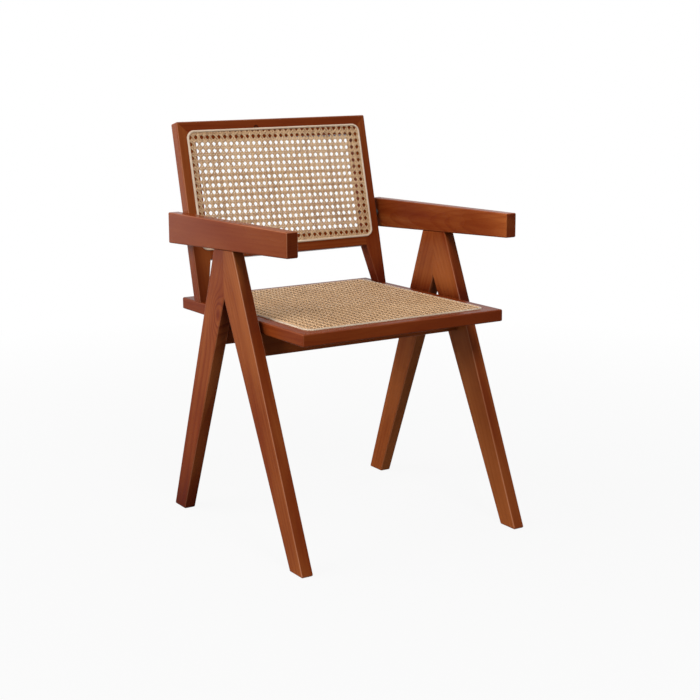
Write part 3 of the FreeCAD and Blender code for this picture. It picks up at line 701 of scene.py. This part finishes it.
def splineOf(name, panel, material, replaced, seed):
    shape = splineShape
    draw = np.random.default_rng(seed)
    # centre line: four arcs joined by straight runs, each given as arc centre + radius * direction
    middle, halfAcross, halfAlong = cornerCentres(panel)
    arcCentres = np.array([(1, 1), (-1, 1), (-1, -1), (1, -1)]) * (halfAcross, halfAlong)
    turnBy = np.linspace(0, np.pi / 2, shape["arcSteps"] + 1)
    step = np.linspace(0, 1, shape["runSteps"] + 1)[1:-1, None]
    centres, angles = [], []
    for corner in range(4):
        here, after = arcCentres[corner], arcCentres[(corner + 1) % 4]
        centres += [np.repeat(here[None], turnBy.size, 0), here + (after - here) * step]
        angles += [corner * np.pi / 2 + turnBy, np.full(step.size, (corner + 1) * np.pi / 2)]
    centres, angles = np.concatenate(centres), np.concatenate(angles)
    outward = np.stack([np.cos(angles), np.sin(angles)], -1)
    line = centres + outward * panel["corner"]
    way = np.concatenate([[0], np.cumsum(np.hypot(*np.diff(line, axis=0).T))])
    wholeWay = way[-1] + np.hypot(*(line[0] - line[-1]))

    # section: sunk sides, small shoulders and a crown, its height above them = rise * sqrt(1 - |x|^3)
    x = np.linspace(-1, 1, shape["crownSteps"] + 1)
    crown = shape["shoulder"] + (panel["proud"] - shape["shoulder"]) * np.sqrt(1 - np.abs(x) ** 3)
    sectionX = np.concatenate([[-1], x, [1]]) * shape["width"] / 2 * shape["fit"] + shape["width"] / 2
    sectionZ = np.concatenate([[-shape["sunk"]], crown, [-shape["sunk"]]])
    # a slight ripple along the way: two sine waves that close on themselves
    wave = shape["ripple"] * sum(
        np.sin(2 * np.pi * way / wholeWay * turns + draw.uniform(*shape["rippleStart"]))
        for turns in shape["ripples"])
    radius = panel["corner"] + sectionX[None, :]
    flat = centres[:, None, :] + outward[:, None, :] * radius[..., None]
    height = sectionZ[None, :] + (sectionZ > 0)[None, :] * wave[:, None]
    points = onPanel(panel, flat[..., 0], flat[..., 1] + middle, height)

    rows, columns = len(line), len(sectionX)
    i, j = np.meshgrid(np.arange(rows), np.arange(columns), indexing="ij")
    nextI, nextJ = (i + 1) % rows, (j + 1) % columns
    here, after = i * columns, nextI * columns
    faces = np.stack([here + nextJ, after + nextJ, after + j, here + j], -1).reshape(-1, 4)
    piece = meshOf(name, points, faces.tolist())
    mesh = piece.data
    reedMap = mesh.uv_layers.new(name="reedMap")
    here, after = way[i], np.append(way[1:], wholeWay)[i]
    lengthwise = np.stack([here, after, after, here], -1)
    widthwise = np.stack([j + 1, j + 1, j, j], -1) / columns
    reedMap.data.foreach_set("uv", np.stack([lengthwise, widthwise], -1).astype(np.float32).ravel())
    mesh.materials.append(material)
    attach(piece, "root")
    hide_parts(replaced)
    return piece


reedFinish = dict(fibreNoise=((60, 60, 1), 3.0), patchNoise=((14, 2, 1), 3.0, 0.6), rough=(0.40, 0.58),
                  specular=0.4, bump=0.2, bumpDepth=0.0002)
# the seat's reed has been sat on and is a shade darker than the back's
backReedStops = [(0.30, (0.42, 0.30, 0.205)), (0.5, (0.56, 0.445, 0.335)), (0.70, (0.69, 0.60, 0.48))]
seatReedStops = [(0.30, (0.32, 0.225, 0.148)), (0.5, (0.43, 0.335, 0.245)), (0.70, (0.55, 0.465, 0.36))]


def reedOf(name, stops):
    # depth = half the fibres + half the patches
    finish = reedFinish
    material, tree, shader = newMaterial(name)
    reedMap = addNode(tree, "UVMap", uv_map="reedMap").outputs[0]
    fibres = noiseOf(tree, reedMap, *finish["fibreNoise"])
    patches = noiseOf(tree, reedMap, *finish["patchNoise"])
    depth = plus(tree, times(tree, fibres, 0.5), times(tree, patches, 0.5))
    wire(tree, rampOf(tree, depth, stops), shader, "Base Color")
    wire(tree, spread(tree, patches, *finish["rough"]), shader, "Roughness")
    bumped(tree, shader, fibres, finish["bump"], finish["bumpDepth"])
    shader.inputs["Specular IOR Level"].default_value = finish["specular"]
    return material


backReed, seatReed = reedOf("paleReed", backReedStops), reedOf("rubbedReed", seatReedStops)
splineOf("backReedSpline", backPanel, backReed, "back_spline", seed=5)
splineOf("seatReedSpline", seatPanel, seatReed, "seat_spline", seed=6)
print("reed splines laid")


# floor, light and camera. The floor's spans are metres from the chair, with its own grey at their two
# ends, how white the camera sees it there, and how white gloss sees it
floorSheet = dict(
    reach=14.0, lines=29, below=0.0005, speckNoise=((40, 40, 40), 3.0), rough=(0.78, 0.86), specular=0.1,
    greySpan=(0.5, 1.6), grey=(0.30, 0.10), whiteSpan=(0.5, 2.2), white=(0.92, 1.0), mirrored=(0.1, 1.0),
)


def floorPiece():
    # a wide flat grid that the camera sees as near white, with the shadow left on it near the chair
    sheet = floorSheet
    grid = np.linspace(-sheet["reach"], sheet["reach"], sheet["lines"])
    x, y = np.meshgrid(grid, grid, indexing="ij")
    points = np.stack([x, y, np.full_like(x, -sheet["below"])], -1)
    n = grid.size
    i, j = np.meshgrid(np.arange(n - 1), np.arange(n - 1), indexing="ij")
    faces = np.stack([i * n + j, (i + 1) * n + j, (i + 1) * n + j + 1, i * n + j + 1], -1).reshape(-1, 4)
    floor = meshOf("paleFloor", points, faces.tolist(), False)

    material, tree, shader = newMaterial("paleFloor")
    place = addNode(tree, "TexCoord").outputs["Object"]
    specks = noiseOf(tree, place, *sheet["speckNoise"])
    wire(tree, spread(tree, specks, *sheet["rough"]), shader, "Roughness")
    shader.inputs["Specular IOR Level"].default_value = sheet["specular"]
    away = measured(tree, "LENGTH", place)
    near, far = sheet["grey"]
    outward = ranged(tree, away, *sheet["greySpan"], 0.0, 1.0)
    wire(tree, rampOf(tree, outward, [(0.0, near), (1.0, far)]), shader, "Base Color")
    rays = addNode(tree, "LightPath").outputs
    seen = times(tree, rays["Is Camera Ray"], ranged(tree, away, *sheet["whiteSpan"], *sheet["white"]))
    mirrored = plus(tree, rays["Is Glossy Ray"], rays["Is Transmission Ray"])
    mirrored = times(tree, mirrored, ranged(tree, away, *sheet["whiteSpan"], *sheet["mirrored"]))
    glow = addNode(tree, "Emission", (1, 1, 1, 1), 1.0)
    white = math1(tree, "MAXIMUM", seen, mirrored)
    mixed = addNode(tree, "MixShader", white, shader.outputs[0], glow.outputs[0])
    tree.links.new(mixed.outputs[0], tree.nodes["Material Output"].inputs["Surface"])
    floor.data.materials.append(material)


studioAir = dict(colour=(1.0, 0.985, 0.97, 1), strength=0.22)


def studioWorld():
    # the camera and gloss see white, and the chair is lit by the dimmer air
    world = bpy.data.worlds.new("paleStudio")
    bpy.context.scene.world = world
    world.use_nodes = True
    tree = world.node_tree
    lit = tree.nodes["Background"]
    lit.inputs[0].default_value = studioAir["colour"]
    lit.inputs[1].default_value = studioAir["strength"]
    shown = addNode(tree, "Background", (1, 1, 1, 1), 1.0)
    rays = addNode(tree, "LightPath").outputs
    mirrored = plus(tree, rays["Is Glossy Ray"], rays["Is Transmission Ray"])
    seen = math1(tree, "MINIMUM", plus(tree, rays["Is Camera Ray"], mirrored), 1.0)
    mixed = addNode(tree, "MixShader", seen, lit.outputs[0], shown.outputs[0])
    tree.links.new(mixed.outputs[0], tree.nodes["World Output"].inputs["Surface"])


# softboxes: place, what they face, size in metres, power in watts
softboxes = {
    "keyLeft": dict(place=(-2.9, 1.0, 2.1), facing=(0, 0, 0.5),
                    size=3.2, power=182, colour=(1.0, 0.98, 0.95)),
    "frontFill": dict(place=(-0.45, -2.8, 2.9), facing=(0, 0, 0.45),
                      size=1.15, power=97, colour=(1.0, 0.99, 0.97)),
    "overhead": dict(place=(-0.5, -0.2, 3.2), facing=(0, 0, 0.45),
                     size=2.0, power=10, colour=(1.0, 0.99, 0.97)),
    "rearSheen": dict(place=(-1.0, 2.6, 0.55), facing=(-0.25, 0.1, 0.5),
                      size=0.9, power=6, colour=(1.0, 0.98, 0.97)),
    "rightFill": dict(place=(3.4, 1.2, 2.0), facing=(0, 0, 0.45),
                      size=2.4, power=26, colour=(1.0, 0.99, 0.98)),
}


def softbox(name, settings):
    # a square lamp that looks from its place at what it faces
    lamp = bpy.data.lights.new(name, "AREA")
    lamp.shape = "SQUARE"
    lamp.size = settings["size"]
    lamp.energy = settings["power"]
    lamp.color = settings["colour"]
    holder = bpy.data.objects.new(name, lamp)
    bpy.context.scene.collection.objects.link(holder)
    place = Vector(settings["place"])
    holder.location = place
    holder.rotation_euler = (Vector(settings["facing"]) - place).to_track_quat("-Z", "Y").to_euler()


floorPiece()
studioWorld()
for name, settings in softboxes.items():
    softbox(name, settings)

# place in metres, turns in degrees and focal length in pixels, fitted to points read from the photograph
viewpoint = dict(place=(-1.56581, -2.49597, 0.99109), heading=32.5407, down=11.1048, roll=-0.1420,
                 focal=1463.515, middleRow=320, imageWidth=700, sensor=36.0)


def photoCamera(view):
    # its axes: ahead by heading and tilt, right level with the floor, up square to both, then rolled
    heading, down, roll = (math.radians(view[k]) for k in ("heading", "down", "roll"))
    level = math.cos(down)
    ahead = Vector((math.sin(heading) * level, math.cos(heading) * level, -math.sin(down)))
    right = Vector((math.cos(heading), -math.sin(heading), 0))
    up = right.cross(ahead)
    c, s = math.cos(roll), math.sin(roll)
    right, up = right * c + up * s, up * c - right * s
    lens = bpy.data.cameras.new("photoView")
    lens.sensor_width = view["sensor"]
    lens.lens = view["focal"] / view["imageWidth"] * view["sensor"]
    lens.shift_y = (view["middleRow"] - view["imageWidth"] / 2) / view["imageWidth"]
    holder = bpy.data.objects.new("photoView", lens)
    bpy.context.scene.collection.objects.link(holder)
    turn = Matrix((right, up, -ahead)).transposed().to_4x4()
    holder.matrix_world = Matrix.Translation(view["place"]) @ turn
    bpy.context.scene.camera = holder


photoCamera(viewpoint)
bpy.context.scene.view_settings.view_transform = "Standard"
print("floor, light and camera set")

bpy.context.view_layer.update()
